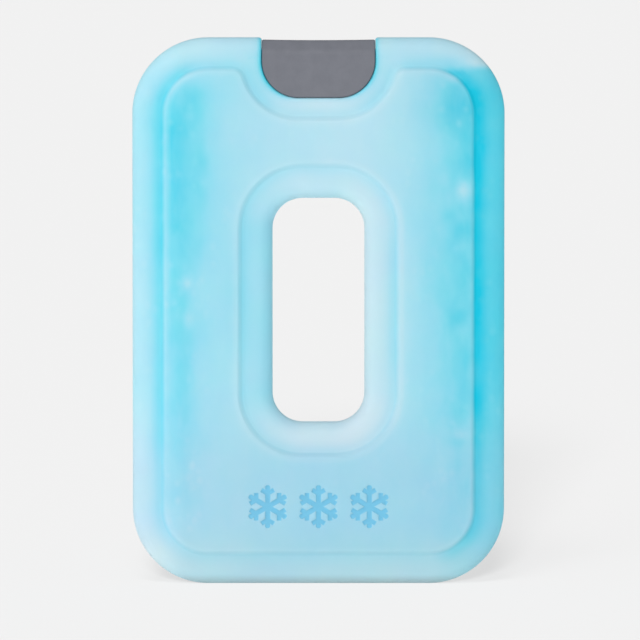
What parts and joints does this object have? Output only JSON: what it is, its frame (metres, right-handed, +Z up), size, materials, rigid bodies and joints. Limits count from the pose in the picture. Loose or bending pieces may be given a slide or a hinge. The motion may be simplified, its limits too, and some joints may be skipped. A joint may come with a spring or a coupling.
{
  "type": "reusable ice pack",
  "caption": "Flat rounded ice pack with a hand slot through it, a raised panel on each face, and a clip-on cap over its filling hole.",
  "frame": {"origin": "middle of the flat bottom edge that the pack stands on", "axes": "+X across the width, +Y through the thickness towards the back face, +Z up to the edge with the cap"},
  "size_m": [0.1774, 0.02, 0.26],
  "materials": {
    "shell": "translucent satin polyethylene",
    "coolant": "blue water-based coolant",
    "cap": "grey satin polypropylene",
    "plug": "pale polyethylene"
  },
  "bodies": {
    "root": {"shell": "shell", "coolant": "coolant", "filler_plug": "plug", "cap": "cap"}
  },
  "joints": []
}
